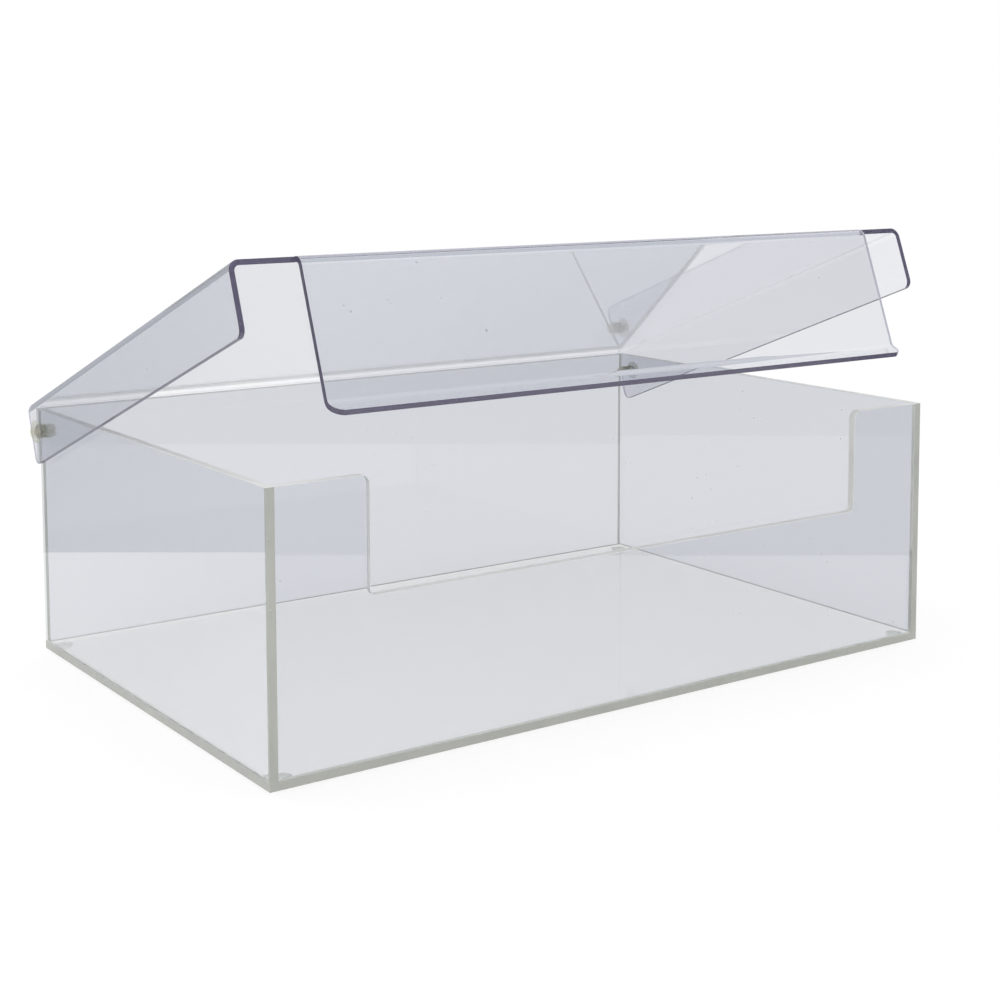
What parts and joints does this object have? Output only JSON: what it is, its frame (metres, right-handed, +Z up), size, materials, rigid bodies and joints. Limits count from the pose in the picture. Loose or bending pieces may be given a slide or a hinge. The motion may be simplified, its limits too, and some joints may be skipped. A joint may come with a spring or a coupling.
{
  "type": "hinged lid countertop bin",
  "caption": "Clear acrylic countertop collection bin with a low cut-out front and a bent-sheet lid hinged on push rivets.",
  "frame": {"origin": "on the table under the middle of the tank's footprint", "axes": "+X to the right as seen from the front, +Y to the back where the hinge is, +Z up"},
  "size_m": [0.4744, 0.3269, 0.2631],
  "materials": {
    "clear_acrylic": "clear cast acrylic sheet, polished faces and edges, faint grey-green in the edges",
    "clear_lid_sheet": "clear bent polycarbonate sheet, dark violet-grey in its cut edges",
    "natural_nylon": "moulded natural nylon, off-white and slightly see-through",
    "nylon_pin": "moulded natural nylon, off-white",
    "clear_bumper": "clear cast polyurethane bumper"
  },
  "bodies": {
    "tank": {"base_plate": "clear_acrylic", "left_wall": "clear_acrylic", "right_wall": "clear_acrylic", "back_wall": "clear_acrylic", "front_panel": "clear_acrylic", "left_rivet": "natural_nylon", "right_rivet": "natural_nylon", "left_rivet_pin": "nylon_pin", "right_rivet_pin": "nylon_pin", "foot_front_left": "clear_bumper", "foot_front_right": "clear_bumper", "foot_back_left": "clear_bumper", "foot_back_right": "clear_bumper"},
    "lid": {"lid": "clear_lid_sheet"}
  },
  "joints": [
    {"name": "lid_hinge", "type": "hinge", "parent": "tank", "child": "lid", "pos_m": [0, 0.1425, 0.141], "axis": [-1, 0, 0], "range_deg": [-21.15, 94.5]}
  ]
}
